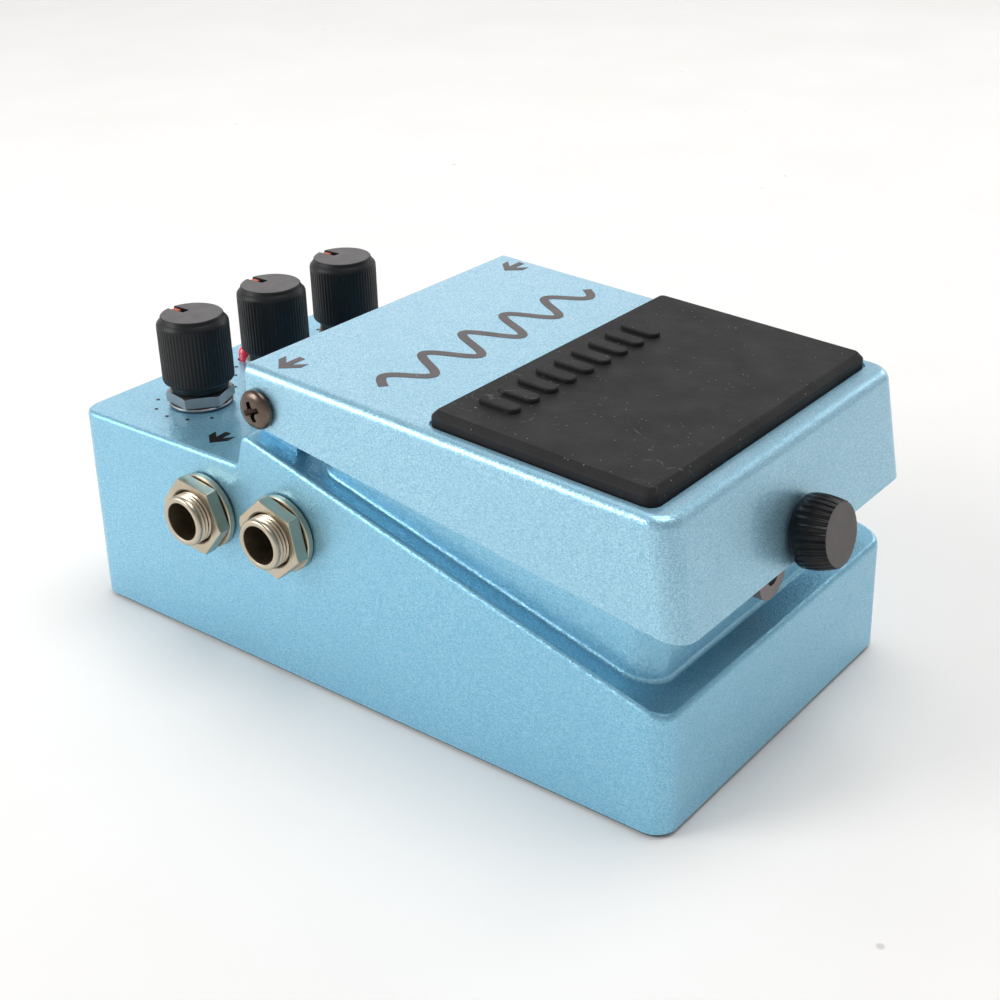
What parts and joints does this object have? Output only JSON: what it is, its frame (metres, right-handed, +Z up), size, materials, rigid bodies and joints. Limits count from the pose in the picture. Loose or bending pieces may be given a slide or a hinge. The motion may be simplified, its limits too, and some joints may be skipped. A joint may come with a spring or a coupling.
{
  "type": "guitar effects pedal",
  "caption": "Compact guitar effects pedal: die-cast base with a sloping ledge, hinged treadle with a rubber pad, control knobs, jack sockets and a thumbscrew latch.",
  "frame": {"origin": "on the underside of the rubber base, where the pedal rests on the floor, midway across it and 64.5 mm behind the front edge of the base", "axes": "+Z up, +Y towards the rear edge that carries the knobs, +X to the player's right"},
  "size_m": [0.0852, 0.1409, 0.0593],
  "materials": {
    "flake_paint": "light blue metallic paint with a fine sparkle",
    "plated_steel": "zinc-plated steel",
    "black_rubber": "matte black rubber",
    "knob_plastic": "matte black moulded plastic",
    "glossy_plastic": "polished black plastic, ribbed grip",
    "bush_plastic": "grey-brown bearing plastic",
    "pointer_orange": "orange inset",
    "red_lens": "clear red lens",
    "circuit_board": "green solder mask",
    "battery_case": "plain dark battery sleeve",
    "bronzed_steel": "dark bronze plating",
    "moulded_plastic": "black moulding",
    "nickel": "warm nickel plating"
  },
  "bodies": {
    "base": {"base_casting": "flake_paint", "bottom_plate": "plated_steel", "rubber_base": "black_rubber", "bottom_screw_1": "plated_steel", "bottom_screw_2": "plated_steel", "bottom_screw_3": "plated_steel", "bottom_screw_4": "plated_steel", "battery": "battery_case", "battery_snap": "moulded_plastic", "return_spring": "plated_steel", "foot_switch_body": "moulded_plastic", "stop_buffer": "black_rubber", "guide_bush": "bush_plastic", "output_jack_rear_body": "moulded_plastic", "output_jack_rear_bushing": "nickel", "output_jack_rear_washer": "nickel", "output_jack_rear_nut": "nickel", "output_jack_front_body": "moulded_plastic", "output_jack_front_bushing": "nickel", "output_jack_front_washer": "nickel", "output_jack_front_nut": "nickel", "input_jack_body": "moulded_plastic", "input_jack_bushing": "nickel", "input_jack_washer": "nickel", "input_jack_nut": "nickel", "power_socket_body": "moulded_plastic", "power_socket_pin": "nickel", "indicator_led": "red_lens", "control_pot_1": "plated_steel", "control_washer_1": "nickel", "control_nut_1": "nickel", "control_pot_2": "plated_steel", "control_washer_2": "nickel", "control_nut_2": "nickel", "control_pot_3": "plated_steel", "control_washer_3": "nickel", "control_nut_3": "nickel", "control_board": "circuit_board", "main_board": "circuit_board", "hinge_bush_left": "bush_plastic", "hinge_bush_right": "bush_plastic"},
    "treadle_carrier": {"hinge_screw_left": "bronzed_steel", "hinge_screw_right": "bronzed_steel"},
    "treadle": {"treadle_shell": "flake_paint", "rubber_pad": "black_rubber"},
    "thumbscrew": {"thumbscrew_head": "glossy_plastic", "thumbscrew_shank": "plated_steel", "thumbscrew_clip": "plated_steel"},
    "switch_plunger": {"foot_switch_plunger": "knob_plastic"},
    "knob_1": {"control_knob_1": "knob_plastic", "control_pointer_1": "pointer_orange", "control_shaft_1": "plated_steel"},
    "knob_2": {"control_knob_2": "knob_plastic", "control_pointer_2": "pointer_orange", "control_shaft_2": "plated_steel"},
    "knob_3": {"control_knob_3": "knob_plastic", "control_pointer_3": "pointer_orange", "control_shaft_3": "plated_steel"}
  },
  "joints": [
    {"name": "treadle_press", "type": "hinge", "parent": "base", "child": "treadle_carrier", "pos_m": [0, 0.0172, 0.0518], "axis": [1, 0, 0], "range_deg": [0, 5], "stiffness_Nm_per_rad": 6, "springref_deg": -3.44, "deforming": ["return_spring"]},
    {"name": "treadle_open", "type": "hinge", "parent": "treadle_carrier", "child": "treadle", "pos_m": [0, 0.0172, 0.0518], "axis": [-1, 0, 0], "range_deg": [0, 80]},
    {"name": "thumbscrew_turn", "type": "hinge", "parent": "treadle", "child": "thumbscrew", "pos_m": [0, -0.0724, 0.0403], "axis": [0, 0.9854, -0.1702], "continuous": true},
    {"name": "switch_travel", "type": "slide", "parent": "base", "child": "switch_plunger", "axis": [0, 0, -1], "range_m": [0, 0.0022]},
    {"name": "knob_1_turn", "type": "hinge", "parent": "base", "child": "knob_1", "pos_m": [-0.0202, 0.0504, 0.0394], "axis": [0, 0, 1], "range_deg": [-150, 150]},
    {"name": "knob_2_turn", "type": "hinge", "parent": "base", "child": "knob_2", "pos_m": [0, 0.0504, 0.0394], "axis": [0, 0, 1], "range_deg": [-150, 150]},
    {"name": "knob_3_turn", "type": "hinge", "parent": "base", "child": "knob_3", "pos_m": [0.0202, 0.0504, 0.0394], "axis": [0, 0, 1], "range_deg": [-150, 150]}
  ],
  "couplings": [
    {"joint": "switch_travel", "follows": "treadle_press", "m_per_rad": 0.0245}
  ]
}
